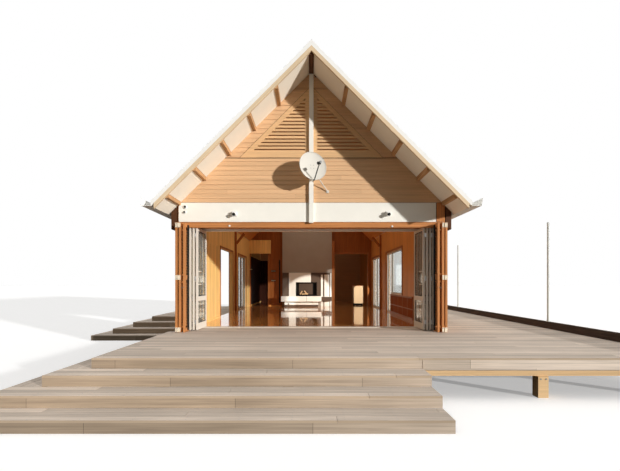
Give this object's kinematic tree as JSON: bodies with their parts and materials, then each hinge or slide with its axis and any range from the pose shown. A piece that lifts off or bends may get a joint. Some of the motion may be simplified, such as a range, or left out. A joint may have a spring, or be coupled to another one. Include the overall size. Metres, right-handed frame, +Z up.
{
  "type": "beach house",
  "caption": "Gabled timber beach house with an open glazed front, louvred shutters and gable vents, decks, steps, a fireplace room, gutters and a satellite dish.",
  "frame": {"origin": "on the ground, at the middle of the underside of the front foundation wall's outer edge, under the front wall face", "axes": "+X to the right seen from the front, +Y into the house from the front to the back, +Z up"},
  "size_m": [12.34, 19.384, 6.756],
  "materials": {
    "weatherboard": "stained timber weatherboard",
    "painted_timber": "white painted timber",
    "roofing": "prefinished roofing sheet",
    "warm_timber": "oiled red-brown timber",
    "pale_timber": "sunlit pale timber",
    "lining": "clear finished lining boards",
    "floorboards": "polished floorboards",
    "decking": "weathered grey decking",
    "step_timber": "weathered brown risers",
    "treated_pine": "new sawn pine",
    "curb_timber": "dark weathered timber",
    "foundation": "rendered concrete",
    "plaster": "smooth plaster",
    "fire_surround": "white stone",
    "firebox_iron": "matt black iron",
    "joinery": "powder coated joinery",
    "gutter_metal": "white coated metal",
    "glass": "clear glass",
    "dish_metal": "light grey coated metal",
    "bracket_metal": "grey coated metal",
    "pole_metal": "white coated metal",
    "light_plastic": "pale moulded plastic"
  },
  "bodies": {
    "root": {"back_gable_vents": "pale_timber", "back_gable_wall": "weatherboard", "back_wall": "weatherboard", "back_wall_head": "weatherboard", "barge_boards": "pale_timber", "base_end_walls": "foundation", "base_side_walls": "foundation", "beam_lights": "light_plastic", "centre_posts": "painted_timber", "chimney_breast": "plaster", "corner_posts": "warm_timber", "deck_bearers": "treated_pine", "deck_curb": "curb_timber", "deck_joists": "treated_pine", "deck_posts": "treated_pine", "dish": "dish_metal", "dish_mount": "bracket_metal", "door_head_beam": "warm_timber", "door_leaves": "joinery", "door_sill": "joinery", "door_track": "joinery", "edge_poles": "pole_metal", "firebox": "firebox_iron", "fireplace_surround": "fire_surround", "floor": "floorboards", "front_beam": "painted_timber", "front_deck": "decking", "front_fascias": "step_timber", "front_gable_vents": "pale_timber", "front_gable_wall": "weatherboard", "front_head_fascia": "warm_timber", "front_risers": "step_timber", "front_treads": "decking", "gable_soffits": "pale_timber", "glass_panes": "glass", "gutters": "gutter_metal", "hearth_bench": "fire_surround", "left_shutters": "warm_timber", "left_wall": "weatherboard", "left_wall_head": "weatherboard", "outriggers": "pale_timber", "partition_head": "lining", "partition_panels": "lining", "pelmets": "pale_timber", "porch_ceiling": "warm_timber", "porch_deck": "decking", "ridge_beam": "warm_timber", "ridge_cap": "gutter_metal", "right_deck": "decking", "right_shutters": "warm_timber", "right_wall": "weatherboard", "right_wall_head": "weatherboard", "roof_edges": "gutter_metal", "roof_left": "roofing", "roof_right": "roofing", "side_fascias": "step_timber", "side_risers": "step_timber", "side_treads": "decking", "terrace_deck": "decking", "wall_door_frames": "joinery"}
  },
  "joints": []
}
